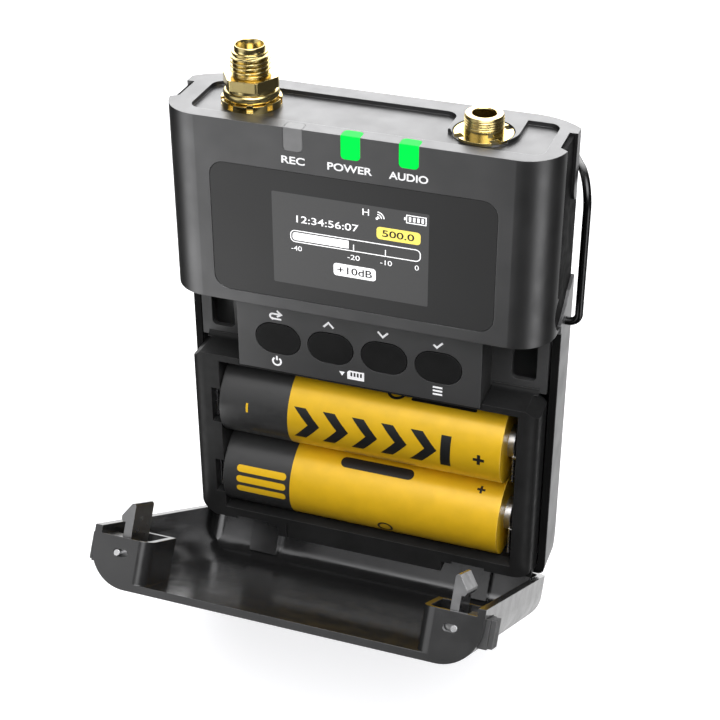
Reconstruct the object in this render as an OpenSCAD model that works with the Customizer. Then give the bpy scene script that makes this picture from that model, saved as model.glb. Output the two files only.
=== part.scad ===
// Belt-worn wireless transmitter pack with a flip-down battery door, two latches,
// a swing-out wire belt clip, four keys, a screw-on aerial socket and a jack socket.
// Depths are measured back from the flat front face, heights up from the foot.
// The origin is the middle of the foot, foot_y behind the front face.

/* [Pack] */
// Width of the pack
body_w = 63.2; // [62.8:0.1:64]
// Depth of the pack, front face to back face
body_d = 17.1; // [17:0.1:18]
// Height of the pack without its sockets
body_h = 82.3; // [82:0.1:84]
// Radius of the two upright front corners
corner_r = 6.3; // [5.5:0.1:6.5]
// Wall of the metal shells
wall = 1.2; // [1:0.1:1.3]
// Lower edge of the front housing
housing_z = 50.8; // [50.6:0.1:51]

/* [Battery door] */
// Angle between the closed door and its resting place
door_rest = 58.35; // [50:0.05:65]
// Depth of the door's rim
door_d = 9.3; // [9.1:0.1:9.4]
// Height of the closed door
door_h = 50.5; // [50.3:0.1:50.5]
// Radius of the door's hinge barrels
barrel_r = 1.6; // [1.5:0.05:1.7]

/* [Batteries] */
// Radius of one cell's can
cell_r = 7.2; // [7:0.05:7.2]

/* [Belt clip] */
// Radius of the clip's wire
wire_r = 0.65; // [0.6:0.05:0.7]
// Half the distance between the clip's upright runs
clip_x = 33.6; // [33.5:0.05:34.3]
// Depth of the clip's pivot and upright runs
clip_y = 12.9; // [12.6:0.1:13.2]
// Height of the clip's pivot
clip_z = 49.8; // [49.6:0.1:50]

/* [Sockets] */
// Radius of the aerial socket's thread
aerial_r = 3.175; // [3.1:0.025:3.2]
// Radius of the jack socket's barrel
jack_r = 3.025; // [3:0.025:3.1]
// Radius of the jack socket's bore
jack_bore_r = 1.8; // [1.75:0.05:1.8]

/* [Hidden] */
$fn = 64;

half_w = body_w / 2;
foot_y = 11;
eps = 0.01;

// Shells
shoulder_y = 10.1;       // front edge of the back shell's side walls
seal_y = 9.6;            // front face of the rim seal
seal_top = 49;           // upper ends of the rim seal
swing_r = 2.85;          // radius about the hinge of the shell's lower front edge, clear of the door's end
rear_r = 11;             // radius of the two upright rear corners
foot_r = 5;              // radius of the lower rear edge
flange_z = 70.8;         // lower edge of the housing's rear flange
channel_x = 31.1;        // face of the black channel beside the clip
notch_x = 30.3;          // side of the notch in the top face
notch_y = [5.5, 12];     // front and back of that notch
roof = 1.6;              // thickness of the top plate
recess_d = 0.7;          // depth of the shallow recess in the top face
boss_r = 5.3;            // radius of the raised land around the jack
boss_y = 9.6;            // depth of that land's centre
screw_at = [[22.5, 44], [22.5, 66]];

// Front furniture
window_half = 23;        // half width of the display glass
window_z = [52.9, 75.1];
screen_x = [-12.8, 12.5];
screen_z = [55.7, 71.5];
panel_half = 20.75;      // half width of the key panel
panel_y = 2.9;
panel_z = 36.95;
key_x = [-13.67, -4.57, 4.57, 13.67];
key_z = 43.15;
key_size = [7.95, 5.85]; // a stadium outline
key_gap = 0.15;
board_y = [12.2, 13.2];  // main board
light_x = [-9.1, 0.05, 9.15];
light_w = 3.1;
light_z = 78.5;

// Latch recesses and slots
recess_y = 9.2;
plate_t = 1;
slot_x = [24.1, 28.2];
slot_z = [39.7, 49.6];

// Battery bay
cell_z = [12.8, 27.56];  // heights of the two cells' axes
tray_half = 30.1;
tray_y = 3.1;
tray_z = [1.5, 37.7];
ledge_fillet = 0.9;       // between the recess plates and the tray's top ledge
bay_x = [-26.3, 27];
bay_lip_x = -24.7;       // edge of the tray's front lip beside the cells' flat ends
leaf_notch = 3.4;        // half height of the lip's notch before each leaf contact
bay_z = [5.2, 36.5];
cell_y = 9.2;
can_x = [-24.5, 24.7];
nub_x = 25.85;

// Hinge
hinge_y = 12.4;
hinge_z = 2.2;
arm_x = [17.1, 22.3];     // inner and outer side of each hinge arm
pin_r = 0.6;
pin_gap = 0.06;
arm_top = 3;             // top of the arms when the door is closed

// Latch pockets in the door
pocket_x = 22;
pocket_z = 40.3;
pocket_y = 8.1;
pocket_wall = 0.9;
hook_x = [25.95, 27.3];  // the two faces of a hook's shaft
hook_z = [42.2, 49.2];
slider_x = [24.4, 28.4];
guide_x = 27.3;
guide_y = 5.6;
guide_r = 0.5;
guide_travel = 1.15;     // how far the guide pin's slot goes inward
release_y = [3, 7.9];
release_z = [44.2, 48.9];

// Sockets
neck_r = 2.8;            // aerial barrel under its nut
flange_r = 4.38;         // round flange of the aerial's nut
nut_z = [2.5, 4.2];      // hexagon of the aerial's nut, above the top face
thread_z = [4.25, 7.95]; // aerial thread, above the top face
lead_r = 2.42;           // plain lead above the aerial thread
lead_z = 8.9;
aerial_bore_r = 2.15;
washer_r = 4.75;
washer_z = 0.5;          // top of the aerial's washer, above the top face
counterbore_r = 4.7;     // hole that the jack's nut sits in
counterbore_d = 0.5;
aerial_at = [-19.1, 8.5];
jack_at = [18.1, 8.5];

// Belt clip
clip_top_z = 74.5;
clip_back_y = 22.2;
tongue_x = 16;
tongue_b = 4;            // radius of the tongue's bends
wire_lap = 0.02;         // how far a straight run laps into a bend
run_r = wire_r - 0.003;  // radius of the straight runs
tongue_z = 48;

// ---- helpers ------------------------------------------------------------

module placed() translate([0, -foot_y, 0]) children();

// Extrude a plan (x, y) between two heights
module in_plan(z0, z1) translate([0, 0, z0]) linear_extrude(z1 - z0) children();

// Extrude a front view (x, z) between two depths
module in_front(y0, y1) translate([0, y1, 0]) rotate([90, 0, 0]) linear_extrude(y1 - y0) children();

// Extrude a side view (y, z) between two widths
module in_side(x0, x1) translate([x0, 0, 0]) rotate([90, 0, 90]) linear_extrude(x1 - x0) children();

module both_sides() {
  children();
  mirror([1, 0, 0]) children();
}

module block(a, b) translate(a) cube(b - a);

module round_rect(a, b, r) {
  translate([a.x + r, a.y]) square([b.x - a.x - 2 * r, b.y - a.y]);
  translate([a.x, a.y + r]) square([b.x - a.x, b.y - a.y - 2 * r]);
  for (x = [a.x + r, b.x - r], y = [a.y + r, b.y - r]) translate([x, y]) circle(r);
}

module stadium(w, h) {
  square([w - h, h], center = true);
  for (s = [-1, 1]) translate([s * (w - h) / 2, 0]) circle(h / 2);
}

// A bar along x with a round section
module bar_x(x0, x1, y, z, r) translate([x0, y, z]) rotate([0, 90, 0]) cylinder(h = x1 - x0, r = r);

// A bar along y with a round section
module bar_y(y0, y1, x, z, r) translate([x, y1, z]) rotate([90, 0, 0]) cylinder(h = y1 - y0, r = r);

// An arc of wire of bend radius b that starts at angle a0 and sweeps da about +Z
module wire_arc(b, a0, da) rotate([0, 0, a0]) rotate_extrude(angle = da) translate([b, 0]) circle(wire_r);

// ---- shells -------------------------------------------------------------

// Plan of the pack, drawn in by t, with round front corners and bowed rear corners
module pack_plan(t = 0) intersection() {
  union() {
    round_rect([t - half_w, t], [half_w - t, 3 * corner_r], corner_r - t);
    translate([t - half_w, corner_r]) square([body_w - 2 * t, body_d]);
  }
  union() {
    translate([-24, 0]) square([48, body_d - t]);
    translate([-half_w, 0]) square([body_w, body_d - rear_r]);
    for (s = [-1, 1]) translate([s * 24, body_d - rear_r]) circle(rear_r - t);
  }
}

// Side view of the front housing, with the sweep at its lower rear edge
module housing_side() {
  difference() {
    translate([0, housing_z]) square([8.7, body_h - housing_z]);
    translate([6.3, 57]) square([4, body_h]);
    translate([8.7, 54.6]) circle(3.8);
    translate([6.3, 54.6]) square([4, 5]);
  }
  translate([6, body_h - roof]) square([body_d - 6, roof]);
  translate([notch_y[1], flange_z + 2]) square([body_d - notch_y[1], body_h - flange_z - 2]);
  translate([notch_y[1] + 2, flange_z]) square([body_d - notch_y[1] - 2, 3]);
  translate([notch_y[1] + 2, flange_z + 2]) circle(2);
}

// Plan of the shallow recess in the top face, which runs round the jack's land
module top_recess_plan() difference() {
  union() {
    round_rect([-27.3, 2.6], [jack_at.x - boss_r, 13.8], 2);
    translate([9, 2.6]) square([14, 5]);
    round_rect([14, 2.6], [28.6, 14.4], 1.8);
  }
  translate([jack_at.x, boss_y]) circle(boss_r);
  translate([jack_at.x - boss_r, boss_y]) square([2 * boss_r, 8]);
}

// Space of one light pipe: round lower corners in front, round rear corners on top
module light_space(x, gap = 0) intersection() {
  in_front(gap, 3)
    round_rect([x - light_w / 2 + gap, light_z + gap], [x + light_w / 2 - gap, body_h + 3], 0.7);
  in_plan(light_z, body_h + 1)
    round_rect([x - light_w / 2 + gap, -2], [x + light_w / 2 - gap, 2.15 - gap], 0.7);
}

module front_housing() color([0.36, 0.36, 0.37]) placed() difference() {
  intersection() {
    in_plan(housing_z, body_h) pack_plan();
    in_side(-half_w - 1, half_w + 1) housing_side();
  }
  // hollow behind the front wall and below the top plate
  intersection() {
    in_plan(housing_z - 1, body_h - roof) pack_plan(wall);
    block([-half_w, 0, 0], [half_w, 15.5, body_h - roof]);
  }
  // side notches of the top face, with a slanted front end that runs down the side walls
  both_sides() in_plan(57.4, body_h + 1)
    polygon([[half_w + 1, 4.7], [notch_x, 6.3], [notch_x, notch_y[1]], [half_w + 1, notch_y[1]]]);
  // recess of the top face
  in_plan(body_h - recess_d, body_h + 1) top_recess_plan();
  // pocket of the display glass, and the opening behind it
  in_front(-1, 0.6)
    round_rect([-window_half - 0.05, window_z[0] - 0.05], [window_half + 0.05, window_z[1] + 0.05], 2.5);
  in_front(-1, 3) round_rect([-19, window_z[0] + 1.6], [19, window_z[1] - 1.6], 1);
  for (x = light_x) translate([0, -eps, 0]) light_space(x);
  // socket holes
  translate([aerial_at.x, aerial_at.y, body_h - 3]) cylinder(h = 5, r = neck_r);
  translate([jack_at.x, jack_at.y, body_h - 3]) cylinder(h = 5, r = jack_r + 0.05);
  translate([jack_at.x, jack_at.y, body_h - counterbore_d]) cylinder(h = 2, r = counterbore_r);
}

// Side view of the back shell's side walls, with the chamfered upper lip
module shell_side() {
  polygon([[shoulder_y, 0], [body_d, 0], [body_d, 56], [14.4, 54.5], [12.8, 53], [10.5, 51.6], [8.9, 50.9],
    [seal_y, 50.6], [seal_y, seal_top], [shoulder_y, seal_top]]);
}

// Front view of the lower pack, with its round lower corners
module foot_front(t = 0) round_rect([t - half_w, t], [half_w - t, body_h], 2.2);

// Side view of the round lower rear edge
module foot_side(t = 0) {
  translate([0, foot_r]) square([body_d - t, body_h]);
  translate([0, t]) square([body_d - foot_r, body_h]);
  translate([body_d - foot_r, foot_r]) circle(foot_r - t);
}

// Side view of all that stays behind the swing of the door's hinge end
module swing_clear() {
  translate([0, hinge_z]) square([body_d, body_h]);
  translate([hinge_y, -1]) square([body_d, body_h]);
  translate([hinge_y, hinge_z]) circle(swing_r);
}

module shell_outer() intersection() {
  in_side(-half_w, half_w) intersection() {
    shell_side();
    foot_side();
    swing_clear();
  }
  in_front(0, body_d) foot_front();
}

module back_shell() color([0.44, 0.44, 0.45]) placed() difference() {
  union() {
    shell_outer();
    in_front(body_d - wall, body_d) round_rect([-25, 40], [25, flange_z - 0.2], 2);
  }
  // hollow of the lower shell
  intersection() {
    block([wall - half_w, 0, wall], [half_w - wall, body_d - wall, 80]);
    in_side(-half_w, half_w) foot_side(wall);
    in_front(0, body_d) foot_front(wall);
  }
  // notches for the hinge arms
  both_sides() block([arm_x[0] - 0.3, 0, -1], [arm_x[1] + 0.3, hinge_y + 2.2, 4.7]);
  // holes for the clip's ends and the back screws
  bar_x(-half_w - 1, half_w + 1, clip_y, clip_z, wire_r + 0.05);
  both_sides() for (p = screw_at) bar_y(body_d - 3, body_d + 1, p.x, p.y, 1.3);
  // troughs that the cells lie in
  for (z = cell_z) bar_x(bay_x[0], bay_x[1], cell_y, z, cell_r + 0.12);
}

// Side view of the channel walls: what the housing and the shell leave open
module channel_side() difference() {
  union() {
    translate([4.4, housing_z + 0.2]) square([16.7 - 4.4, flange_z - housing_z + 2]);
    translate([6, flange_z]) square([notch_y[1] - 5.8, body_h - roof - flange_z]);
  }
  housing_side();
  shell_side();
}

module mid_frame() color([0.09, 0.09, 0.1]) placed() {
  difference() {
    union() {
      // channel walls beside the folded clip
      both_sides() {
        in_side(channel_x - wall, channel_x) channel_side();
        block([notch_x + 0.02, 6.5, body_h - roof - eps], [channel_x, notch_y[1] - 0.1, body_h - 0.4]);
        block([25.3, body_d - wall - 1.2, 56.2], [channel_x - wall + eps, body_d - wall, flange_z - 0.2]);
        block([tray_half - 0.1 - eps, recess_y + 1.2, 51.8], [channel_x - wall + eps, recess_y + 3, 56]);
        // bosses of the back screws
        for (p = screw_at) bar_y(recess_y, body_d - wall - 0.05, p.x, p.y, 1.5);
      }
      // plate behind the latch recesses, the key panel and the display
      block([0.1 - tray_half, recess_y, tray_z[1]], [tray_half - 0.1, recess_y + plate_t, 54]);
      block([-24, recess_y, 53], [24, recess_y + plate_t, 69]);
    }
    // latch slots
    both_sides() in_front(recess_y - 1, recess_y + 3)
      round_rect([slot_x[0], slot_z[0]], [slot_x[1], slot_z[1]], 0.9);
    both_sides() for (p = screw_at) bar_y(recess_y + 2, body_d, p.x, p.y, 0.7);
  }
  // ribs that tie the channel walls to the plate
  both_sides() block([23.9, recess_y, 57], [channel_x - wall + eps, recess_y + plate_t, 60]);
}

module rim_seal() color([0.05, 0.05, 0.05]) placed() difference() {
  in_front(seal_y, shoulder_y) difference() {
    foot_front();
    foot_front(wall);
    translate([-half_w, seal_top]) square([body_w, body_h]);
  }
  in_side(-half_w, half_w) difference() {
    translate([0, -1]) square([hinge_y, hinge_z + 1]);
    swing_clear();
  }
  both_sides() block([arm_x[0] - 0.3, 0, -1], [arm_x[1] + 0.3, body_d, 3]);
}

// ---- front furniture ----------------------------------------------------

module display_window() color([0.1, 0.1, 0.11]) placed()
  in_front(0.05, 0.6) round_rect([-window_half, window_z[0]], [window_half, window_z[1]], 2.5);

module display_module() color([0.2, 0.2, 0.22]) placed() {
  block([screen_x[0] - 1.5, 0.62, screen_z[0] - 0.8], [screen_x[1] + 1.5, 2.6, screen_z[1] + 0.8]);
  block([screen_x[0] + 4, 2.6, screen_z[0] - 0.4], [screen_x[1] - 4, 4.2, screen_z[0] + 2]);
}

module light_pipe(x) placed() difference() {
  intersection() {
    light_space(x, 0.02);
    block([x - light_w, 0, 0], [x + light_w, 3, body_h]);
  }
  block([x - light_w, wall - 0.1, light_z - 1], [x + light_w, 3, body_h - roof]);
}
module light_pipe_1() color([0.5, 0.5, 0.5]) light_pipe(light_x[0]);
module light_pipe_2() color([0, 0.85, 0.2]) light_pipe(light_x[1]);
module light_pipe_3() color([0, 0.85, 0.2]) light_pipe(light_x[2]);

module button_panel() color([0.3, 0.3, 0.31]) placed() difference() {
  union() {
    block([-panel_half, panel_y, panel_z], [panel_half, panel_y + 1.4, housing_z - 0.1]);
    both_sides() block([panel_half - 1.2, panel_y, panel_z], [panel_half, recess_y, housing_z - 0.1]);
  }
  for (x = key_x) translate([x, 0, key_z]) in_front(0, 8) stadium(key_size.x, key_size.y);
}

// A key with a flange behind the panel and a stem over its switch
module key_cap(x) color([0.04, 0.04, 0.04]) placed() translate([x, 0, key_z]) {
  in_front(panel_y - 0.1, panel_y + 1.9) stadium(key_size.x - 2 * key_gap, key_size.y - 2 * key_gap);
  in_front(panel_y + 1.5, panel_y + 1.9) stadium(key_size.x + 0.5, key_size.y + 0.6);
  in_front(panel_y + 1.9 - eps, panel_y + 2.3) stadium(3, 2.4);
}
module key_1() key_cap(key_x[0]);
module key_2() key_cap(key_x[1]);
module key_3() key_cap(key_x[2]);
module key_4() key_cap(key_x[3]);

// Key board with one dome switch behind each key
module key_switches() color([0.05, 0.3, 0.14]) placed() {
  block([1.4 - panel_half, 6.4, panel_z + 1], [panel_half - 1.4, 7.2, housing_z - 1.6]);
  for (x = key_x) {
    block([x - 2, 5.9, key_z - 2], [x + 2, 6.4 + eps, key_z + 2]);
    bar_y(5.6, 5.9 + eps, x, key_z, 1);
  }
}

module main_board() color([0.05, 0.3, 0.14]) placed() {
  block([-20.5, board_y[0], 39], [20.5, board_y[1], 79.5]);
  block([-14, 10.5, 58], [-4, board_y[0] + eps, 68]);
  block([2, 11, 60], [10, board_y[0] + eps, 68]);
  for (x = [-16 : 4 : 12]) block([x, board_y[1] - eps, 42], [x + 2, board_y[1] + 1, 44]);
  block([3, board_y[1] - eps, 56], [15, board_y[1] + 2, 66]);
}

module memory_card() color([0.08, 0.08, 0.09]) placed()
  block([-5.5, 7.65, panel_z + 0.1], [5.5, 8.4, panel_z + 15.1]);

// Sheet metal shell that the memory card slides up into
module card_socket() color([0.7, 0.7, 0.7]) placed() difference() {
  block([-6.4, 7.3, panel_z + 2], [6.4, 9, panel_z + 15.9]);
  block([-5.6, 7.5, 0], [5.6, 8.6, panel_z + 15.5]);
}

// ---- battery bay --------------------------------------------------------

// Plan of the tray: round upright front corners
module tray_plan(t = 0) {
  round_rect([t - tray_half, tray_y + t], [tray_half - t, tray_y + 6], 2.6 - t / 2);
  translate([t - tray_half, tray_y + 3]) square([2 * (tray_half - t), shoulder_y - tray_y - 3]);
}

module battery_tray() color([0.07, 0.07, 0.08]) placed() difference() {
  union() {
    intersection() {
      in_plan(tray_z[0], tray_z[1]) tray_plan();
      in_front(0, body_d) polygon([[3.4 - tray_half, tray_z[0]], [tray_half - 1, tray_z[0]],
        [tray_half, tray_z[0] + 1], [tray_half, tray_z[1] - 2], [tray_half - 2, tray_z[1]],
        [2 - tray_half, tray_z[1]], [-tray_half, tray_z[1] - 2], [-tray_half, tray_z[0] + 4.6],
        [3.3 - tray_half, tray_z[0] + 2.7]]);
    }
    intersection() {
      block([2 - tray_half, shoulder_y - 1, wall], [tray_half - 2, 14.6, tray_z[1] - 1.1]);
      in_side(-half_w, half_w) foot_side(wall);
    }
    // fillets from the recess plates down to the tray's top ledge
    both_sides() difference() {
      block([panel_half + 0.3, recess_y - ledge_fillet, tray_z[1] - eps],
        [tray_half - 1.2, recess_y, tray_z[1] + ledge_fillet]);
      bar_x(panel_half, tray_half + 1, recess_y - ledge_fillet, tray_z[1] + ledge_fillet, ledge_fillet);
    }
  }
  // ledge under the key panel
  block([-panel_half - 0.2, 0, panel_z - 0.2], [panel_half + 0.2, recess_y, tray_z[1] + 5]);
  // the bay: an open box over the cells' upper halves and a trough behind each
  block([bay_lip_x, 0, bay_z[0] + 1.1], [bay_x[1], cell_y, bay_z[1]]);
  for (z = cell_z) {
    bar_x(bay_lip_x, bay_x[1], cell_y, z, cell_r + 0.25);
    block([bay_x[0], 0, z - leaf_notch], [can_x[0] + 1, cell_y, z + leaf_notch]);
  }
  block([-13.4, 0, 0], [-13.1, tray_y + 0.4, bay_z[0]]);
  block([bay_x[0], cell_y - eps, cell_z[0] - 6], [can_x[0] + 1, cell_y + 5, cell_z[1] + 6]);
  block([can_x[1] - 1, cell_y - eps, cell_z[0] - 6], [bay_x[1], cell_y + 4, cell_z[1] + 6]);
  // clearance for the hinge arms and for the door's end at the outer lower corners
  both_sides() {
    block([arm_x[0] - 0.3, 0, 0], [arm_x[1] + 0.3, body_d, 4.7]);
    block([15, 0, 0], [half_w, 6.4, 4.2]);
    bar_x(arm_x[0] - 2.6, arm_x[1] + 2.6, hinge_y, hinge_z, pin_r);
  }
  in_side(-half_w, half_w) difference() {
    translate([0, -1]) square([hinge_y, hinge_z + 1]);
    swing_clear();
  }
}

module cell(z) color([0.88, 0.66, 0.12]) placed() {
  bar_x(can_x[0], can_x[1], cell_y, z, cell_r);
  bar_x(can_x[1] - eps, nub_x, cell_y, z, 2.75);
}
module cell_upper() cell(cell_z[1]);
module cell_lower() cell(cell_z[0]);

// Sprung leaf at the cells' flat ends: a backing plate and a bowed tongue
module leaf_contacts() color([0.8, 0.8, 0.78]) placed() for (z = cell_z) {
  block([bay_x[0] + 0.05, 4.6, z - 3], [bay_x[0] + 0.4, 12.4, z + 3]);
  in_plan(z - 2.2, z + 2.2) polygon([[bay_x[0] + 0.3, 6.4], [bay_x[0] + 0.7, 6.4], [can_x[0] - 0.1, 9.2],
    [bay_x[0] + 0.7, 12.2], [bay_x[0] + 0.3, 12.2], [can_x[0] - 0.7, 9.2]]);
}

// Plate at the cells' raised ends, folded forward at its top
module plate_contacts() color([0.8, 0.8, 0.78]) placed() for (z = cell_z) {
  block([nub_x + 0.05, 5.4, z - 5.6], [nub_x + 0.35, 12, z - 0.6]);
  block([nub_x + 0.05, 5.4, z - 0.8], [bay_x[1], 8.4, z - 0.5]);
}

module hinge_pins() color([0.75, 0.75, 0.76]) placed() both_sides()
  bar_x(arm_x[0] - 2.6, arm_x[1] + 2.6, hinge_y, hinge_z, pin_r);

module back_screws() color([0.2, 0.2, 0.21]) placed() both_sides() for (p = screw_at) difference() {
  union() {
    bar_y(body_d - 0.9, body_d - 0.1, p.x, p.y, 1.25);
    bar_y(body_d - 5.5, body_d - 0.9 + eps, p.x, p.y, 0.7);
  }
  in_front(body_d - 0.6, body_d + 1) translate(p) circle(0.65, $fn = 6);
}

// ---- sockets ------------------------------------------------------------

module at_socket(at, z = body_h) placed() translate([at.x, at.y, z]) children();

module aerial_barrel() color([0.8, 0.62, 0.28]) at_socket(aerial_at) difference() {
  union() {
    translate([0, 0, -4.5]) cylinder(h = 4.5 + thread_z[0] + 0.5, r = neck_r);
    translate([0, 0, thread_z[0]]) cylinder(h = thread_z[1] - thread_z[0], r = aerial_r);
    translate([0, 0, thread_z[1] - 0.5]) cylinder(h = lead_z - thread_z[1] + 0.5, r = lead_r);
  }
  translate([0, 0, nut_z[1]]) cylinder(h = 7, r = aerial_bore_r);
}

module aerial_pin() color([0.85, 0.7, 0.35]) at_socket(aerial_at) {
  translate([0, 0, nut_z[1]]) cylinder(h = 1.2, r = aerial_bore_r - 0.05);
  translate([0, 0, nut_z[1] + 1.2]) cylinder(h = 1, r = 0.5);
}

// Lock washer with notches round its edge
module aerial_washer() color([0.8, 0.62, 0.28]) at_socket(aerial_at, body_h - recess_d) difference() {
  cylinder(h = recess_d + washer_z, r = washer_r);
  translate([0, 0, -1]) cylinder(h = 4, r = neck_r);
  for (a = [-71.4 : 40 : 250]) rotate([0, 0, a]) translate([washer_r - 0.7, -0.5, 0.25]) cube([1, 1, 2]);
}

module aerial_nut() color([0.8, 0.62, 0.28]) at_socket(aerial_at) difference() {
  union() {
    rotate_extrude() intersection() {
      round_rect([-flange_r, washer_z], [flange_r, washer_z + 1.45], 0.6);
      square([flange_r + 1, 3]);
    }
    translate([0, 0, washer_z + 1.4]) cylinder(h = nut_z[0] - washer_z - 1.3, r = 3.9);
    translate([0, 0, nut_z[0]]) rotate([0, 0, 2.5]) intersection() {
      cylinder(h = nut_z[1] - nut_z[0], r = 4 / cos(30), $fn = 6);
      cylinder(h = nut_z[1] - nut_z[0], r = 4.5);
    }
  }
  translate([0, 0, -1]) cylinder(h = 7, r = neck_r);
}

module jack_barrel() color([0.8, 0.62, 0.28]) at_socket(jack_at) difference() {
  union() {
    translate([0, 0, -12]) cylinder(h = 14.9, r = jack_r);
    translate([0, 0, -12]) cylinder(h = 10, r = 3.4);
  }
  translate([0, 0, -11]) cylinder(h = 16, r = jack_bore_r);
}

module jack_nut() color([0.8, 0.62, 0.28]) at_socket(jack_at) difference() {
  translate([0, 0, -counterbore_d]) cylinder(h = counterbore_d - 0.08, r = counterbore_r - 0.2);
  translate([0, 0, -1]) cylinder(h = 3, r = jack_r);
  for (a = [40 : 90 : 310]) rotate([0, 0, a]) translate([jack_r + 0.4, -0.7, -1]) cube([2, 1.4, 2]);
}

module jack_contact() color([0.8, 0.8, 0.78]) at_socket(jack_at, body_h - 13) {
  cylinder(h = 1, r = 3);
  for (a = [0, 120, 240]) rotate([0, 0, a]) translate([2.2, -0.4, -2]) cube([0.4, 0.8, 2.2]);
}

// ---- battery door -------------------------------------------------------

// Swings a part drawn in the closed door's place to the door's rest
module door_swung() placed() translate([0, hinge_y, hinge_z]) rotate([door_rest, 0, 0])
  translate([0, -hinge_y, -hinge_z]) children();

module door_side(t = 0) {
  translate([t, 4.5]) square([door_d, door_h]);
  translate([4.5, t]) square([door_d, door_h]);
  translate([4.5, 4.5]) circle(4.5 - t);
}

module door_outer(t = 0) intersection() {
  in_plan(t, door_h + 1) round_rect([t - half_w, t], [half_w - t, 3 * corner_r], corner_r - t);
  in_side(-half_w, half_w) door_side(t);
  in_front(0, 2 * door_d) foot_front(t);
}

// Hinge arm: a block on the inside of the door's hinge end, and its barrel
module hinge_arm() difference() {
  union() {
    bar_x(arm_x[0], arm_x[1], hinge_y, hinge_z, barrel_r);
    in_side(arm_x[0], arm_x[1]) polygon([[7.6, 0.05], [hinge_y, hinge_z - barrel_r],
      [hinge_y, hinge_z + barrel_r], [10.8, arm_top + 0.3], [9.6, arm_top], [2.9, arm_top],
      [2.9, 1], [7.6, 0.6]]);
  }
  bar_x(0, half_w, hinge_y, hinge_z, pin_r + pin_gap);
}

// Front view of a latch pocket, with a round inner corner at the door's free end
module pocket_front(t = 0) intersection() {
  round_rect([pocket_x + t, 0], [2 * half_w, door_h - t], 2 - t);
  translate([0, pocket_z + t]) square([half_w - (t > 0 ? wall : 0), door_h]);
}

module door_shell() color([0.12, 0.12, 0.13]) door_swung() {
  difference() {
    intersection() {
      door_outer();
      block([-half_w, 0, 0], [half_w, door_d, door_h]);
    }
    difference() {
      intersection() {
        door_outer(wall);
        block([-half_w, 0, 0], [half_w, 2 * door_d, door_h + 1]);
      }
      both_sides() in_front(0, pocket_y) pocket_front();
    }
    both_sides() {
      // hollow of each pocket
      intersection() {
        in_front(0, door_d + 1) pocket_front(pocket_wall);
        door_outer(wall);
      }
      // openings for the release key and the guide pin
      block([slider_x[1], release_y[0], release_z[0]], [half_w + 1, release_y[1], release_z[1]]);
      guide_slot();
    }
  }
  both_sides() hinge_arm();
}

// Slot of the guide pin through the door's end wall
module guide_slot() {
  slot_r = guide_r + 0.08;
  for (x = [guide_x - guide_travel, guide_x + 0.06])
    translate([x, guide_y, door_h - 2]) cylinder(h = 3, r = slot_r);
  block([guide_x - guide_travel, guide_y - slot_r, door_h - 2], [guide_x, guide_y + slot_r, door_h + 1]);
}

// Slider with its upright hook; the barb points outward
module latch() {
  block([slider_x[0], 3.4, hook_z[0] + 0.2], [slider_x[1], 6.8, hook_z[1] - 0.2]);
  in_plan(hook_z[0], hook_z[1]) polygon([[hook_x[0], 6], [hook_x[0], 13.1], [hook_x[0] + 0.3, 13.4],
    [hook_x[0] + 0.65, 13.4], [28.05, 11.3], [28.05, 10.8], [27.8, 10.35], [hook_x[1], 10.35],
    [hook_x[1], 6]]);
}
module latch_right() color([0.62, 0.62, 0.62]) door_swung() latch();
module latch_left() color([0.62, 0.62, 0.62]) door_swung() mirror([1, 0, 0]) latch();

module release() {
  block([slider_x[1], release_y[0] + 0.2, release_z[0] + 0.2],
    [half_w + 0.6, release_y[1] - 0.2, release_z[1] - 0.2]);
  for (z = [release_z[0] + 0.3 : 0.98 : release_z[1] - 0.7])
    block([half_w + 0.5, release_y[0] + 0.3, z], [half_w + 1.3, release_y[1] - 0.3, z + 0.5]);
}
module release_right() color([0.1, 0.1, 0.11]) door_swung() release();
module release_left() color([0.1, 0.1, 0.11]) door_swung() mirror([1, 0, 0]) release();

module guide_pin() translate([guide_x, guide_y, hook_z[1] - 0.2])
  cylinder(h = door_h + 0.12 - hook_z[1] + 0.2, r = guide_r);
module guide_pin_right() color([0.9, 0.9, 0.9]) door_swung() guide_pin();
module guide_pin_left() color([0.9, 0.9, 0.9]) door_swung() mirror([1, 0, 0]) guide_pin();

// Bowed leaf spring between each pocket's inner wall and its slider
module latch_springs() color([0.8, 0.8, 0.8]) door_swung() both_sides() in_plan(45, 48) difference() {
  bow = 5.6;
  leaf = 0.18;
  wall_x = pocket_x + pocket_wall;
  crown_x = slider_x[0] - guide_travel; // as far out as the slider lets it
  translate([crown_x - bow, 4.7]) circle(bow);
  translate([crown_x - bow, 4.7]) circle(bow - leaf);
  translate([-50, -50]) square([50 + wall_x + 0.02, 100]);
}

// ---- belt clip ----------------------------------------------------------

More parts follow.
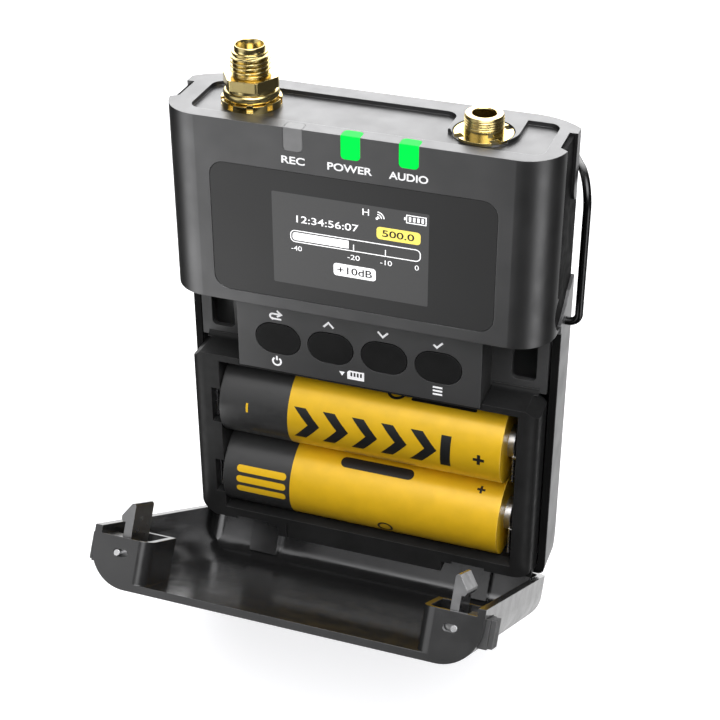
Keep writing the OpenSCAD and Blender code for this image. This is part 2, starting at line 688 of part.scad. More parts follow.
// One half of the wire frame: pivot end, upright run, a bend over the rear corner, and half of the
// tongue that goes down behind the belt. Straight runs lap a little way into the bends.
module belt_clip_half() {
  low_b = 1.5;
  top_b = 5;
  back_b = 3;
  lean = 26.2; // inward turn of the run over the rear corner
  lap = wire_lap;
  r = run_r;
  run = (clip_back_y - back_b * (1 - sin(lean)) - clip_y) / cos(lean);
  turn_x = clip_x - run * sin(lean) - back_b * cos(lean);
  bar_x(half_w - wall - 0.2, clip_x - low_b + lap, clip_y, clip_z, r);
  translate([clip_x - low_b, clip_y, clip_z + low_b]) rotate([90, 0, 0]) wire_arc(low_b, -90, 90);
  translate([clip_x, clip_y, clip_z + low_b - lap])
    cylinder(h = clip_top_z - top_b - clip_z - low_b + 2 * lap, r = r);
  translate([clip_x, clip_y, clip_top_z]) rotate([0, 0, lean]) {
    translate([0, top_b, -top_b]) rotate([90, 0, 90]) wire_arc(top_b, 90, 90);
    bar_y(top_b - lap, run + lap, 0, 0, r);
  }
  translate([turn_x, clip_back_y - back_b, clip_top_z]) wire_arc(back_b, lean, 90 - lean);
  bar_x(tongue_x + tongue_b - lap, turn_x + lap, clip_back_y, clip_top_z, r);
  translate([tongue_x + tongue_b, clip_back_y, clip_top_z - tongue_b]) rotate([90, 0, 0])
    wire_arc(tongue_b, 90, 90);
  translate([tongue_x, clip_back_y, tongue_z + tongue_b - lap])
    cylinder(h = clip_top_z - tongue_z - 2 * tongue_b + 2 * lap, r = r);
  translate([tongue_x - tongue_b, clip_back_y, tongue_z + tongue_b]) rotate([90, 0, 0])
    wire_arc(tongue_b, -90, 90);
}
module belt_clip() color([0.16, 0.16, 0.17]) placed() {
  both_sides() belt_clip_half();
  half = tongue_x - tongue_b + wire_lap;
  bar_x(-half, half, clip_back_y, tongue_z, run_r);
}

front_housing();
back_shell();
mid_frame();
rim_seal();
battery_tray();
button_panel();
key_switches();
display_window();
display_module();
light_pipe_1();
light_pipe_2();
light_pipe_3();
main_board();
memory_card();
card_socket();
aerial_barrel();
aerial_nut();
aerial_washer();
aerial_pin();
jack_barrel();
jack_nut();
jack_contact();
cell_upper();
cell_lower();
leaf_contacts();
plate_contacts();
hinge_pins();
back_screws();
door_shell();
latch_left();
latch_right();
release_left();
release_right();
guide_pin_left();
guide_pin_right();
latch_springs();
belt_clip();
key_1();
key_2();
key_3();
key_4();
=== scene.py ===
"""Looks of the transmitter pack: finishes, socket threads, printed marks, display, camera and light.

Lengths in this file are millimetres measured from the pack's front face (depth), its middle (width) and
its foot (height), as in the part's own design. at() turns them into the frame's metres.
"""
import math

import bmesh
import bpy
from mathutils import Matrix, Vector


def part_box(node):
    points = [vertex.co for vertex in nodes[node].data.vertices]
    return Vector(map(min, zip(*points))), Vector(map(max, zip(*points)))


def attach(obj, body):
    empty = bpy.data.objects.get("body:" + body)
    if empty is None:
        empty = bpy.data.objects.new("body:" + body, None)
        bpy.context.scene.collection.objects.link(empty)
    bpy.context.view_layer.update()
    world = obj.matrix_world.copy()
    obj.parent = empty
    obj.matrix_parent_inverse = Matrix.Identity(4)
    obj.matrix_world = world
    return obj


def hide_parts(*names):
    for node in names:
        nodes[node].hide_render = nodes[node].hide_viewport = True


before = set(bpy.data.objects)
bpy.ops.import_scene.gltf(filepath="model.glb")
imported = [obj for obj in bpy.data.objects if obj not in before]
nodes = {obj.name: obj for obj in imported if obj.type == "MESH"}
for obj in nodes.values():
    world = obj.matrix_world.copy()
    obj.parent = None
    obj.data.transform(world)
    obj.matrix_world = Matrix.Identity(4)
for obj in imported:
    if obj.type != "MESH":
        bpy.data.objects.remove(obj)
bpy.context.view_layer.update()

MM = 0.001
BOX = {name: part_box(name) for name in nodes}
FRONT_Y = BOX["front_housing"][0].y          # the front face, in the frame
TOP_Z = BOX["front_housing"][1].z            # the top face


HINGE_DEPTH = 12.4 * MM                      # hinge axis behind the front face
HINGE_Z = (BOX["hinge_pins"][0].z + BOX["hinge_pins"][1].z) / 2
DOOR_REACH_Z = HINGE_Z - HINGE_DEPTH         # how low the door's front face hangs when it is level


def at(x, depth, z):
    """A point given in millimetres from the front face, in the frame's metres."""
    return Vector((x * MM, FRONT_Y + depth * MM, z * MM))


# ---- materials ------------------------------------------------------------------------------------


class Shader:
    """A small builder for one procedural material around a Principled shader."""

    def __init__(self, name, colour, roughness, metallic=0.0, coat=0.0, specular=0.5):
        self.material = bpy.data.materials.new(name)
        self.material.use_nodes = True
        self.tree = self.material.node_tree
        self.tree.nodes.clear()
        self.bsdf = self.add("ShaderNodeBsdfPrincipled")
        output = self.add("ShaderNodeOutputMaterial")
        self.join(self.bsdf.outputs["BSDF"], output.inputs["Surface"])
        self.put("Base Color", (*colour, 1))
        self.put("Roughness", roughness)
        self.put("Metallic", metallic)
        self.put("Coat Weight", coat)
        self.put("Coat Roughness", 0.08)
        self.put("Specular IOR Level", specular)
        self.position = self.add("ShaderNodeTexCoord").outputs["Object"]

    def add(self, kind, **settings):
        node = self.tree.nodes.new(kind)
        for key, value in settings.items():
            setattr(node, key, value)
        return node

    def join(self, source, target):
        self.tree.links.new(source, target)

    def put(self, socket, value):
        self.bsdf.inputs[socket].default_value = value

    def math(self, operation, a, b=None):
        node = self.add("ShaderNodeMath", operation=operation)
        for socket, value in zip(node.inputs, (a, b)):
            if value is None:
                continue
            if isinstance(value, (int, float)):
                socket.default_value = value
            else:
                self.join(value, socket)
        return node.outputs[0]

    def noise(self, size_mm, detail=3.0, stretch=(1, 1, 1)):
        """Noise whose features are about size_mm across."""
        scale = self.add("ShaderNodeVectorMath", operation="MULTIPLY")
        self.join(self.position, scale.inputs[0])
        scale.inputs[1].default_value = stretch
        node = self.add("ShaderNodeTexNoise")
        node.inputs["Scale"].default_value = 1 / (size_mm * MM)
        node.inputs["Detail"].default_value = detail
        self.join(scale.outputs[0], node.inputs["Vector"])
        return node.outputs["Fac"]

    def span(self, value, low, high, start=0.35, stop=0.65):
        """value from start to stop, spread over low to high."""
        node = self.add("ShaderNodeMapRange")
        self.join(value, node.inputs["Value"])
        for socket, number in zip(("From Min", "From Max", "To Min", "To Max"), (start, stop, low, high)):
            node.inputs[socket].default_value = number
        return node.outputs[0]

    def mix(self, factor, a, b):
        node = self.add("ShaderNodeMix", data_type="RGBA")
        self.join(factor, node.inputs["Factor"])
        for socket, value in zip(("A", "B"), (a, b)):
            target = [i for i in node.inputs if i.name == socket and i.type == "RGBA"][0]
            if isinstance(value, tuple):
                target.default_value = (*value, 1)
            else:
                self.join(value, target)
        return [o for o in node.outputs if o.type == "RGBA"][0]

    def soft_edges(self, radius_mm, bump=None, strength=0.1, depth_mm=0.02):
        """Rounds sharp edges in the shading, over an optional bump; gives a mask of the worn edges."""
        bevel = self.add("ShaderNodeBevel", samples=6)
        bevel.inputs["Radius"].default_value = radius_mm * MM
        normal = bevel.outputs[0]
        if bump is not None:
            node = self.add("ShaderNodeBump")
            node.inputs["Strength"].default_value = strength
            node.inputs["Distance"].default_value = depth_mm * MM
            self.join(bump, node.inputs["Height"])
            self.join(normal, node.inputs["Normal"])
            normal = node.outputs[0]
        self.join(normal, self.bsdf.inputs["Normal"])
        dot = self.add("ShaderNodeVectorMath", operation="DOT_PRODUCT")
        self.join(bevel.outputs[0], dot.inputs[0])
        self.join(self.add("ShaderNodeNewGeometry").outputs["Normal"], dot.inputs[1])
        return self.span(dot.outputs["Value"], 1.0, 0.0, 0.8, 0.995)

    def glow(self, colour, strength):
        self.put("Emission Color", (*colour, 1))
        self.put("Emission Strength", strength)


def grey(value):
    return (value, value, value * 1.015)


def blasted_metal(name, tone, roughness=0.42, metallic=0.75, worn=0.15, grain=0.03, edge_mm=0.12):
    """Fine-blasted, anodised metal: a faint sparkle of grain, slow cloudy tone and paler edges."""
    m = Shader(name, grey(tone), roughness, metallic)
    cloud = m.noise(9.0, 2.0)
    edge = m.soft_edges(edge_mm, m.noise(0.35, 2.0), grain, 0.01)
    base = m.mix(m.span(cloud, 0.0, 1.0), grey(tone * 0.93), grey(tone * 1.07))
    base = m.mix(m.math("MULTIPLY", edge, m.span(m.noise(1.2), 0.3, 1.0)), base, grey(min(tone + worn, 0.8)))
    m.join(base, m.bsdf.inputs["Base Color"])
    m.join(m.span(m.noise(3.0, 3.0), roughness - 0.03, roughness + 0.03), m.bsdf.inputs["Roughness"])
    return m.material


def moulded(name, tone, roughness=0.45, specular=0.3, bump=0.08, edge_mm=0.12):
    """Moulded plastic or rubber: fine spark texture, uneven gloss and slightly polished edges."""
    m = Shader(name, grey(tone), roughness, specular=specular)
    edge = m.soft_edges(edge_mm, m.noise(0.2, 2.0), bump, 0.02)
    base = m.mix(m.span(m.noise(5.0, 2.0), 0.0, 1.0), grey(tone * 0.85), grey(tone * 1.15))
    base = m.mix(edge, base, grey(tone * 1.8 + 0.02))
    m.join(base, m.bsdf.inputs["Base Color"])
    m.join(m.span(m.noise(1.5, 3.0), roughness - 0.07, roughness + 0.07), m.bsdf.inputs["Roughness"])
    return m.material


def recess_frame():
    """Black moulded frame whose plates between its sides carry a grey satin paint."""
    m = Shader("frame_plastic", grey(0.012), 0.6, specular=0.02)
    m.soft_edges(0.12, m.noise(0.4, 2.0), 0.05, 0.02)
    axis = m.add("ShaderNodeSeparateXYZ")
    m.join(m.position, axis.inputs[0])
    plate = m.math("LESS_THAN", m.math("ABSOLUTE", axis.outputs["X"]), 30.05 * MM)
    black = m.mix(m.span(m.noise(5.0, 2.0), 0.0, 1.0), grey(0.01), grey(0.015))
    paint = m.mix(m.noise(8.0, 2.0), grey(0.1), grey(0.12))
    m.join(m.mix(plate, black, paint), m.bsdf.inputs["Base Color"])
    m.join(m.math("MULTIPLY", plate, 0.6), m.bsdf.inputs["Metallic"])
    m.join(m.span(m.noise(1.5, 3.0), 0.5, 0.62), m.bsdf.inputs["Roughness"])
    return m.material


def polished(name, colour, roughness, stretch=(1, 1, 4), metallic=1.0):
    """Turned or rolled metal: fine scratches one way, faint tarnish in slow patches."""
    m = Shader(name, colour, roughness, metallic)
    m.soft_edges(0.1, m.noise(1.2, 2.0, stretch), 0.02, 0.01)
    dull = tuple(c * 0.88 for c in colour)
    m.join(m.mix(m.span(m.noise(1.6, 4.0), 0.0, 1.0, 0.4, 0.75), colour, dull), m.bsdf.inputs["Base Color"])
    m.join(m.span(m.noise(2.0, 3.0), roughness * 0.85, roughness * 1.2), m.bsdf.inputs["Roughness"])
    return m.material


def ink(name, colour, roughness=0.45, glow=0.0):
    """Screen-printed ink or a lit area: a slightly uneven flat colour. A glow lights a screen area; on white
    print it is a painted glow that brightens the lettering.
    """
    m = Shader(name, colour, roughness)
    pale = tuple(c * 0.9 for c in colour)
    m.join(m.mix(m.noise(0.5, 2.0), colour, pale), m.bsdf.inputs["Base Color"])
    if glow:
        m.glow(colour, glow)
    return m.material


def window_glass():
    """Dark tinted front glass: almost black beneath a clear polished coat with faint smears."""
    m = Shader("tinted_glass", grey(0.024), 0.3, specular=0.4)
    m.join(m.span(m.noise(9.0, 2.0), 0.29, 0.32), m.bsdf.inputs["Roughness"])
    m.join(m.mix(m.noise(14.0, 1.0), grey(0.022), grey(0.026)), m.bsdf.inputs["Base Color"])
    m.soft_edges(0.1)
    return m.material


def light_pipe(name, colour, glow):
    """Frosted light pipe; a lit one glows."""
    m = Shader(name, colour, 0.4, specular=0.3 if not glow else 0.05)
    m.soft_edges(0.25, m.noise(0.3), 0.05, 0.02)
    dull = tuple(c * (0.15 if glow else 0.8) for c in colour)
    m.join(m.mix(m.noise(1.5, 1.0), tuple(c * 0.8 for c in dull), dull), m.bsdf.inputs["Base Color"])
    if glow:
        m.glow(colour, glow)
    return m.material


def cell_sleeve(cell):
    """Printed foil sleeve of one cell: black at the flat end, gold beyond, bare steel on the raised nub."""
    low, high = BOX[cell]
    split = low.x + 12.35 * MM
    nub = high.x - 1.1 * MM
    gold, dark, steel = GOLD_PRINT, grey(0.03), grey(0.62)
    m = Shader(cell + "_sleeve", gold, 0.34, coat=0.15)
    edge = m.soft_edges(0.3, m.noise(0.6, 2.0), 0.03, 0.02)
    axis = m.add("ShaderNodeSeparateXYZ")
    m.join(m.position, axis.inputs[0])
    is_gold = m.math("GREATER_THAN", axis.outputs["X"], split)
    is_nub = m.math("GREATER_THAN", axis.outputs["X"], nub)
    rich = m.mix(m.span(m.noise(3.0, 3.0), 0.0, 1.0), gold, tuple(c * 0.92 for c in gold))
    printed = m.mix(is_gold, dark, rich)
    printed = m.mix(m.math("MULTIPLY", m.math("MULTIPLY", edge, 0.3), is_gold), printed, (0.9, 0.72, 0.3))
    m.join(m.mix(is_nub, printed, steel), m.bsdf.inputs["Base Color"])
    m.join(m.math("MAXIMUM", is_nub, m.math("MULTIPLY", is_gold, 0.15)), m.bsdf.inputs["Metallic"])
    m.join(m.span(m.noise(1.0, 3.0), 0.28, 0.42), m.bsdf.inputs["Roughness"])
    return m.material


def circuit_board():
    """Green solder mask with a faint pattern of tracks and vias."""
    mask, track = (0.01, 0.09, 0.035), (0.03, 0.16, 0.06)
    m = Shader("circuit_board", mask, 0.35)
    tracks = m.add("ShaderNodeTexVoronoi", distance="MANHATTAN")
    tracks.inputs["Scale"].default_value = 1 / (1.4 * MM)
    m.join(m.position, tracks.inputs["Vector"])
    is_track = m.span(tracks.outputs["Distance"], 0, 1, 0.3, 0.34)
    m.join(m.mix(is_track, mask, track), m.bsdf.inputs["Base Color"])
    m.soft_edges(0.1, tracks.outputs["Distance"], 0.1, 0.02)
    return m.material


GILT = (0.74, 0.60, 0.27)
GOLD_PRINT = (0.80, 0.48, 0.012)
MATERIALS = {
    "housing": blasted_metal("blasted_housing", 0.11, 0.37, 0.9),
    "back_metal": blasted_metal("blasted_back", 0.2, 0.36, 0.8),
    "panel": blasted_metal("key_panel_metal", 0.09, 0.45, 0.6),
    "door": blasted_metal("door_metal", 0.1, 0.2, 0.85, 0.12, 0.0),
    "frame": recess_frame(),
    "tray": moulded("tray_plastic", 0.016, 0.45, 0.16),
    "seal": moulded("seal_rubber", 0.006, 0.7, 0.1, 0.15),
    "key": moulded("key_plastic", 0.011, 0.5, 0.15),
    "steel": polished("hook_steel", grey(0.3), 0.32),
    "dark_steel": polished("blackened_steel", grey(0.06), 0.3),
    "wire": polished("clip_wire", grey(0.055), 0.25, (1, 1, 1)),
    "bright": polished("bright_metal", grey(0.9), 0.25),
    "gilt": polished("gilt_brass", GILT, 0.17),
    "insulator": moulded("insulator", 0.4, 0.35),
    "glass": window_glass(),
    "module": moulded("display_body", 0.03),
    "board": circuit_board(),
    "lamp_off": light_pipe("lamp_unlit", grey(0.3), 0.0),
    "lamp_on": light_pipe("lamp_green", (0.0, 1.0, 0.09), 0.9),
    # white print that also glows: painted light that makes the lettering brighter than ink under the lamps
    "white_ink_painted_glow": ink("white_ink_painted_glow", grey(0.86), 0.45, 0.3),
    "black_ink": ink("black_ink", grey(0.012), 0.35),
    "gold_ink": ink("gold_ink", GOLD_PRINT, 0.35),
    "screen": ink("screen_face", grey(0.055), 0.35, 0.35),
    "screen_light": ink("screen_white", grey(0.9), 0.4, 0.75),
    "screen_pill": ink("screen_yellow", (0.75, 0.62, 0.12), 0.4, 0.75),
    "screen_dark": ink("screen_black", grey(0.01), 0.4),
}

# Which CAD pieces carry each material; the two cells have sleeves of their own.
CARRIERS = {
    "housing": ("front_housing",),
    "back_metal": ("back_shell",),
    "frame": ("mid_frame", "memory_card"),
    "seal": ("rim_seal",),
    "tray": ("battery_tray",),
    "panel": ("button_panel", "release_left", "release_right"),
    "board": ("key_switches", "main_board"),
    "glass": ("display_window",),
    "module": ("display_module",),
    "lamp_off": ("light_pipe_1",),
    "lamp_on": ("light_pipe_2", "light_pipe_3"),
    "bright": ("card_socket", "jack_contact", "leaf_contacts", "plate_contacts",
               "guide_pin_left", "guide_pin_right"),
    "gilt": ("aerial_nut", "aerial_washer", "jack_nut", "aerial_barrel", "jack_barrel"),
    "insulator": ("aerial_pin",),
    "steel": ("hinge_pins", "latch_left", "latch_right", "latch_springs"),
    "dark_steel": ("back_screws",),
    "door": ("door_shell",),
    "wire": ("belt_clip",),
    "key": ("key_1", "key_2", "key_3", "key_4"),
}
FINISH = {name: material for material, names in CARRIERS.items() for name in names}


def finish_nodes():
    for name, node in nodes.items():
        material = cell_sleeve(name) if name.startswith("cell_") else MATERIALS[FINISH[name]]
        if not node.material_slots:
            node.data.materials.append(None)
        for slot in node.material_slots:
            slot.link = "OBJECT"
            slot.material = material


# ---- mesh helpers ---------------------------------------------------------------------------------


def new_piece(name, mesh, material, body):
    piece = bpy.data.objects.new(name, mesh)
    bpy.context.collection.objects.link(piece)
    mesh.materials.append(MATERIALS[material])
    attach(piece, body)
    return piece


def rounded(x0, z0, x1, z1, r, steps=6):
    """Outline of a rectangle with round corners."""
    corners = ((x1 - r, z1 - r, 0), (x0 + r, z1 - r, 90), (x0 + r, z0 + r, 180), (x1 - r, z0 + r, 270))
    return [point for cx, cz, start in corners for point in arc(cx, cz, r, start, start + 90, steps)]


def arc(cx, cz, r, start, stop, steps=16):
    """Points along an arc, angles in degrees."""
    return [(cx + r * math.cos(math.radians(start + (stop - start) * i / steps)),
             cz + r * math.sin(math.radians(start + (stop - start) * i / steps))) for i in range(steps + 1)]


def ribbon(points, width):
    """Quads for one mitred line of that width through the points; closed if it ends where it began."""
    path = [Vector(point) for point in points]
    closed = (path[0] - path[-1]).length < 1e-6
    if closed:
        path.pop()
    count = len(path)
    sides = []
    for k, point in enumerate(path):
        before = path[k - 1] if closed or k else None
        after = path[(k + 1) % count] if closed or k < count - 1 else None
        ways = [(b - a).normalized() for a, b in ((before, point), (point, after)) if a and b]
        across = sum((Vector((-way.y, way.x)) for way in ways), Vector((0, 0))).normalized()
        reach = width / 2 / max(0.5, across.dot(Vector((-ways[0].y, ways[0].x))))
        sides.append((tuple(point + across * reach), tuple(point - across * reach)))
    if closed:
        sides.append(sides[0])
    return [[a[0], a[1], b[1], b[0]] for a, b in zip(sides, sides[1:])]


def plus(x, z, reach, width):
    """A plus sign in three pieces that meet without overlapping."""
    half = width / 2
    spans = ((x - reach, z - half, x + reach, z + half), (x - half, z + half, x + half, z + reach),
             (x - half, z - reach, x + half, z - half))
    return [[(x0, z0), (x1, z0), (x1, z1), (x0, z1)] for x0, z0, x1, z1 in spans]


def lettering(text, x0, z0, x1, z1, weight=0.0):
    """Outlines of a line of plain lettering that just fills a box."""
    curve = bpy.data.curves.new("lettering", "FONT")
    curve.body = text
    curve.offset = weight
    carrier = bpy.data.objects.new("lettering", curve)
    bpy.context.collection.objects.link(carrier)
    mesh = bpy.data.meshes.new_from_object(carrier.evaluated_get(bpy.context.evaluated_depsgraph_get()))
    xs, zs = [v.co.x for v in mesh.vertices], [v.co.y for v in mesh.vertices]
    low_x, low_z = min(xs), min(zs)
    sx, sz = (x1 - x0) / (max(xs) - low_x), (z1 - z0) / (max(zs) - low_z)
    shapes = [[(x0 + (mesh.vertices[i].co.x - low_x) * sx, z0 + (mesh.vertices[i].co.y - low_z) * sz)
               for i in face.vertices] for face in mesh.polygons]
    bpy.data.objects.remove(carrier)
    bpy.data.meshes.remove(mesh)
    return shapes


def marks(name, shapes, place, material, body, longest_mm=None):
    """Thin printed shapes: place() lays each outline's flat points on the surface."""
    built = bmesh.new()
    for shape in shapes:
        built.faces.new([built.verts.new((x, z, 0)) for x, z in shape])
    if longest_mm:
        bmesh.ops.triangulate(built, faces=built.faces[:])
        for _ in range(6):
            long_edges = [e for e in built.edges if e.calc_length() > longest_mm]
            if not long_edges:
                break
            bmesh.ops.subdivide_edges(built, edges=long_edges, cuts=1)
            bmesh.ops.triangulate(built, faces=[f for f in built.faces if len(f.verts) > 3])
    for vertex in built.verts:
        vertex.co = place(vertex.co.x, vertex.co.y)
    mesh = bpy.data.meshes.new(name)
    built.to_mesh(mesh)
    built.free()
    return new_piece(name, mesh, material, body)


def on_front(depth):
    """Lays marks on an upright face at that depth, looking at it from the front."""
    return lambda x, z: at(x, depth, z)


def on_cell(cell, lift=0.02):
    """Wraps marks round a cell: z is the length round it, up from its frontmost line."""
    low, high = BOX[cell]
    r = (high.z - low.z) / 2
    cy, cz = (low.y + high.y) / 2, (low.z + high.z) / 2
    out = r + lift * MM
    return lambda x, s: Vector((x * MM, cy - out * math.cos(s * MM / r), cz + out * math.sin(s * MM / r)))


# ---- threaded barrels -----------------------------------------------------------------------------


def lathe(name, rings, centre, material, body, steps=96):
    """A closed turned solid. rings are (height, radius) pairs, where radius may be a function of the turn."""
    built = bmesh.new()
    loops = []
    for z, radius in rings:
        loop = []
        for i in range(steps):
            turn = i / steps
            r = radius(turn) if callable(radius) else radius
            a = 2 * math.pi * turn
            loop.append(built.verts.new(centre + Vector((r * math.cos(a), r * math.sin(a), z)) * MM))
        loops.append(loop)
    for low, high in zip(loops, loops[1:]):
        for i in range(steps):
            j = (i + 1) % steps
            built.faces.new((low[i], low[j], high[j], high[i]))
    built.faces.new(loops[0][::-1])
    built.faces.new(loops[-1])
    bmesh.ops.recalc_face_normals(built, faces=built.faces)
    for face in built.faces:
        face.smooth = True
    mesh = bpy.data.meshes.new(name)
    built.to_mesh(mesh)
    built.free()
    piece = new_piece(name, mesh, material, body)
    split = piece.modifiers.new("crisp", "EDGE_SPLIT")
    split.split_angle = math.radians(38)
    return piece


def thread_rings(z0, z1, crest, root, pitch, per_turn=10):
    """Rings of a helical thread between two heights, running out at both ends."""
    count = int((z1 - z0) / pitch * per_turn)
    rings = []
    for k in range(count + 1):
        z = z0 + (z1 - z0) * k / count
        fade = min(1.0, (z - z0) / (0.6 * pitch), (z1 - z) / (0.6 * pitch))

        def radius(turn, z=z, fade=fade):
            phase = ((z - z0) / pitch - turn) % 1.0
            flank = min(1.0, max(0.0, 1.35 - abs(phase - 0.5) * 3.4))
            return root + (crest - root) * flank * fade
        rings.append((z, radius))
    return rings


def socket_centre(node):
    """Middle of an upright socket, at the height of the top face."""
    low, high = BOX[node]
    return Vector(((low.x + high.x) / 2, (low.y + high.y) / 2, TOP_Z))


def threaded_sockets():
    """Gilt barrels with real threads in place of the plain CAD ones; heights are above the top face."""
    lead, bore, neck, root, crest = 2.42, 2.15, 2.78, 2.7, 3.17
    rings = [(-4.5, neck), (4.23, neck), (4.25, root)] + thread_rings(4.27, 7.93, crest, root, 0.7056)
    rings += [(7.95, lead), (8.76, lead), (8.9, lead - 0.1), (8.9, bore + 0.06), (8.82, bore), (4.2, bore)]
    aerial = lathe("aerial_barrel_threaded", rings, socket_centre("aerial_barrel"), "gilt", "body")
    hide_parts("aerial_barrel")
    outer, bore, root = 3.02, 1.8, 2.86
    rings = [(-12, 3.4), (-2, 3.4), (-1.98, outer), (0.95, outer)]
    rings += thread_rings(0.97, 2.7, outer, root, 0.38)
    rings += [(2.72, outer - 0.06), (2.9, outer - 0.2), (2.9, bore + 0.12), (2.78, bore), (-11.0, bore)]
    jack = lathe("jack_barrel_threaded", rings, socket_centre("jack_barrel"), "gilt", "body")
    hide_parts("jack_barrel")


PROUD = 0.012                                # how far print stands off its surface, in millimetres
PROUD_STEP = 0.008                           # and how much further each print on top of it does


# ---- printed marks --------------------------------------------------------------------------------


def lamp_captions():
    """Words for the three lamps, just below them."""
    low, high, weight = 76.45, 77.7, 0.024
    captions = (("REC", -11.0, -7.2), ("POWER", -3.6, 3.5), ("AUDIO", 6.1, 12.2))
    for i, (text, x0, x1) in enumerate(captions):
        shapes = lettering(text, x0, low, x1, high, weight)
        # the captions are white print with a painted glow
        marks(f"caption_{i + 1}", shapes, on_front(-PROUD), "white_ink_painted_glow", "body")


def key_icons():
    """Small icons above and below the keys."""
    w = 0.33
    bend = arc(-14.5, 47.35, 0.45, 270, 90, 8)
    back_arrow = ribbon([(-13.0, 46.9), (-14.5, 46.9)] + bend + [(-13.35, 47.8)], w)
    back_arrow += ribbon([(-13.75, 48.45), (-13.0, 47.8), (-13.75, 47.3)], w)
    up = ribbon([(-5.7, 47.0), (-4.85, 47.9), (-4.0, 47.0)], w)
    down = ribbon([(3.5, 47.9), (4.35, 47.0), (5.2, 47.9)], w)
    tick = ribbon([(12.8, 47.35), (13.35, 46.85), (14.3, 47.85)], w)
    power = ribbon(arc(-14.0, 38.8, 0.72, 125, 415, 20), w) + ribbon([(-14.0, 39.0), (-14.0, 39.85)], w)
    pointer = [[(-3.1, 39.15), (-2.6, 38.35), (-2.1, 39.15)]]
    card = [[(-1.7, 37.95), (1.2, 37.95), (1.2, 39.6), (-1.35, 39.6), (-1.7, 39.25)]]
    menu = [shape for z in (38.15, 38.8, 39.45) for shape in ribbon([(12.85, z), (14.45, z)], w)]
    shapes = back_arrow + up + down + tick + power + pointer + card + menu
    depth = (BOX["button_panel"][0].y - FRONT_Y) / MM
    # the icons are white print with a painted glow
    marks("key_icons", shapes, on_front(depth - PROUD), "white_ink_painted_glow", "body")
    contacts = [rounded(x, 38.55, x + 0.32, 39.3, 0.05, 2) for x in (-1.15, -0.6, -0.05, 0.5)]
    marks("card_icon_contacts", contacts, on_front(depth - PROUD - PROUD_STEP), "black_ink", "body")


def screen():
    """The display's picture, drawn just in front of the tinted glass."""
    depth = (BOX["display_window"][0].y - FRONT_Y) / MM
    face, top, inlay = (on_front(depth - PROUD - PROUD_STEP * layer) for layer in range(3))
    marks("screen_face", [rounded(-12.8, 55.7, 12.5, 71.5, 0.25)], face, "screen", "body")
    light = lettering("12:34:56:07", -8.8, 66.7, 1.3, 67.9, 0.006)
    light += lettering("H", 1.95, 69.75, 3.0, 70.85)
    for r in (0.35, 0.75, 1.15):
        light += ribbon(arc(4.25, 69.5, r, 5, 85, 8), 0.18)
    light += [rounded(4.05, 69.3, 4.45, 69.7, 0.19)]
    light += ribbon([(8.95, 69.6), (12.0, 69.6), (12.0, 70.85), (8.95, 70.85), (8.95, 69.6)], 0.16)
    light += [[(8.55, 70.0), (8.8, 70.0), (8.8, 70.45), (8.55, 70.45)]]
    light += [rounded(9.3 + 0.66 * i, 69.85, 9.68 + 0.66 * i, 70.6, 0.05, 2) for i in range(4)]
    outline = rounded(-9.8, 63.3, 11.2, 65.25, 0.75)
    light += ribbon(outline + outline[:1], 0.16)
    light += [rounded(-9.5, 63.6, -1.2, 64.95, 0.5)]
    light += [[(-1.7, 63.6), (-0.3, 63.6), (-0.3, 64.95), (-1.7, 64.95)]]
    light += [[(x - 0.08, 63.45), (x + 0.08, 63.45), (x + 0.08, 64.4), (x - 0.08, 64.4)] for x in (0.5, 5.65)]
    for text, x0, x1 in (("-40", -9.75, -8.0), ("-20", -0.5, 1.5), ("-10", 4.8, 6.7), ("0", 10.35, 11.0)):
        light += lettering(text, x0, 61.75, x1, 62.6)
    light += [rounded(-2.8, 58.6, 4.1, 60.75, 0.5)]
    marks("screen_picture", light, top, "screen_light", "body")
    marks("screen_pill", [rounded(4.2, 66.1, 11.2, 68.2, 0.6)], top, "screen_pill", "body")
    dark = lettering("500.0", 5.1, 66.6, 10.2, 67.75, 0.012)
    dark += lettering("+10dB", -2.2, 59.05, 3.5, 60.3, 0.012)
    marks("screen_dark_text", dark, inlay, "screen_dark", "body")


def chevron(x, s, h, w, t):
    """One thick chevron pointing right."""
    return [[(x, s), (x + t, s), (x + w + t, s + h / 2), (x + w, s + h / 2)],
            [(x + w, s + h / 2), (x + w + t, s + h / 2), (x + t, s + h), (x, s + h)]]


def cell_marks():
    """Bold generic shapes printed on the sleeves in place of lettering."""
    upper, lower = on_cell("cell_upper"), on_cell("cell_lower")
    low_s, height = -2.7, 5.9
    bold = []
    for k in range(5):
        bold += chevron(-11.1 + 5.1 * k, low_s, height, 2.6, 2.1)
    bold += [[(14.6, low_s), (16.3, low_s), (16.3, low_s + height), (14.6, low_s + height)]]
    ring = ribbon(arc(5.6, 9.3, 1.5, 0, 360, 28), 0.5)
    stripe = [rounded(8.3, 7.9, 19.5, 8.5, 0.28)]
    longest = 0.7                            # edges no longer than this follow the round sleeve
    black = bold + plus(21.1, 0, 0.95, 0.55) + ring + stripe
    marks("cell_upper_print", black, upper, "black_ink", "body", longest)
    marks("cell_upper_tick", ribbon([(-19.45, 0.5), (-19.45, 2.2)], 0.4), upper, "gold_ink", "body", longest)
    stripe = [rounded(-3.9, 6.7, 9.1, 8.7, 0.98, 8)]
    ring = ribbon(arc(5.0, -3.6, 1.2, 0, 360, 28), 0.4)
    marks("cell_lower_print", stripe + plus(20.9, 7.6, 0.7, 0.4) + ring, lower, "black_ink", "body", longest)
    emblem = [rounded(-22.0, -1.6, -12.9, -0.3, 0.6), rounded(-22.0, 0.35, -12.9, 1.65, 0.6),
              rounded(-22.0, 2.3, -12.9, 3.6, 0.6)]
    marks("cell_lower_bars", emblem, lower, "gold_ink", "body", longest)


# ---- stage, camera and light ------------------------------------------------------------------------


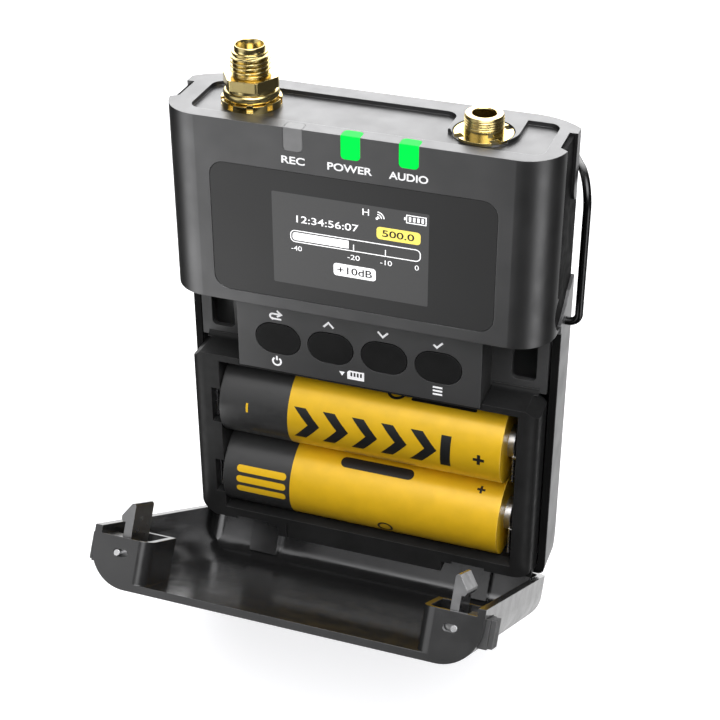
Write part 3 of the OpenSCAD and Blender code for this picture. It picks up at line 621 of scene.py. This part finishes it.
def floor():
    mesh = bpy.data.meshes.new("floor")
    z, half = DOOR_REACH_Z - 0.2 * MM, 3.0
    corners = [(-half, -half, z), (half, -half, z), (half, half, z), (-half, half, z)]
    mesh.from_pydata(corners, [], [(0, 1, 2, 3)])
    plane = bpy.data.objects.new("floor", mesh)
    bpy.context.collection.objects.link(plane)
    m = Shader("pale_floor", grey(0.5), 0.7)
    m.join(m.mix(m.noise(60.0), grey(0.48), grey(0.52)), m.bsdf.inputs["Base Color"])
    m.glow(grey(1.0), 0.72)
    mesh.materials.append(m.material)
    plane.visible_glossy = plane.visible_diffuse = plane.visible_shadow = False


def camera():
    azimuth, elevation, roll = math.radians(19.31), math.radians(31.87), math.radians(-0.13)
    back = Vector((math.sin(azimuth) * math.cos(elevation), -math.cos(azimuth) * math.cos(elevation),
                   math.sin(elevation)))
    right = (-back).cross(Vector((0, 0, 1))).normalized()
    up = right.cross(-back)
    rolled_right = right * math.cos(roll) + up * math.sin(roll)
    rolled_up = up * math.cos(roll) - right * math.sin(roll)
    data = bpy.data.cameras.new("camera")
    data.sensor_width = 36
    data.lens = 83.48
    data.clip_start, data.clip_end = 0.01, 20
    eye = bpy.data.objects.new("camera", data)
    bpy.context.collection.objects.link(eye)
    turn = Matrix((rolled_right, rolled_up, back)).transposed().to_4x4()
    eye.matrix_world = Matrix.Translation(at(76.17, -213.06, 184.24)) @ turn
    bpy.context.scene.camera = eye


# Soft lights of the studio: direction towards each one, how bright it is, and where its edge starts and ends
# in degrees away from that direction.
SOFTBOXES = (
    ((-0.28, 0.80, 0.53), 4.6, 8, 46),       # large and high, behind the pack
    ((-0.60, -0.58, -0.55), 2.6, 4, 31),     # low at the left
    ((0.80, -0.40, -0.46), 2.2, 4, 20),      # narrow, low at the right
    ((0.15, 0.86, -0.48), 1.0, 10, 32),      # bounce from behind
    ((-0.42, 0.86, -0.30), 1.3, 6, 24),      # low behind at the left
    ((-0.65, -0.70, 0.30), 0.8, 8, 36),      # weak, at the left
    ((0.3, -0.5, 0.81), 4.8, 8, 42),         # high in front
)
FILL = 0.05


def lighting():
    """A dark studio with a few soft lights; the camera sees a white backdrop."""
    world = bpy.data.worlds.new("studio")
    world.use_nodes = True
    tree = world.node_tree
    tree.nodes.clear()
    output = tree.nodes.new("ShaderNodeOutputWorld")
    studio = tree.nodes.new("ShaderNodeBackground")
    backdrop = tree.nodes.new("ShaderNodeBackground")
    switch = tree.nodes.new("ShaderNodeMixShader")
    rays = tree.nodes.new("ShaderNodeLightPath")
    direction = tree.nodes.new("ShaderNodeTexCoord").outputs["Generated"]
    total = None
    for towards, strength, inner, outer in SOFTBOXES:
        dot = tree.nodes.new("ShaderNodeVectorMath")
        dot.operation = "DOT_PRODUCT"
        tree.links.new(direction, dot.inputs[0])
        dot.inputs[1].default_value = Vector(towards).normalized()
        edge = tree.nodes.new("ShaderNodeMapRange")
        edge.interpolation_type = "SMOOTHSTEP"
        tree.links.new(dot.outputs["Value"], edge.inputs["Value"])
        edge.inputs["From Min"].default_value = math.cos(math.radians(outer))
        edge.inputs["From Max"].default_value = math.cos(math.radians(inner))
        edge.inputs["To Max"].default_value = strength
        add = tree.nodes.new("ShaderNodeMath")
        tree.links.new(edge.outputs[0], add.inputs[0])
        if total is None:
            add.inputs[1].default_value = FILL
        else:
            tree.links.new(total, add.inputs[1])
        total = add.outputs[0]
    tree.links.new(total, studio.inputs["Strength"])
    tree.links.new(rays.outputs["Is Camera Ray"], switch.inputs[0])
    tree.links.new(studio.outputs[0], switch.inputs[1])
    tree.links.new(backdrop.outputs[0], switch.inputs[2])
    for background in (studio, backdrop):
        background.inputs["Color"].default_value = (1, 1, 1, 1)
    tree.links.new(switch.outputs[0], output.inputs["Surface"])
    bpy.context.scene.world = world
    bpy.context.scene.view_settings.view_transform = "Standard"


finish_nodes()
camera()
threaded_sockets()
lamp_captions()
key_icons()
screen()
cell_marks()
floor()
lighting()
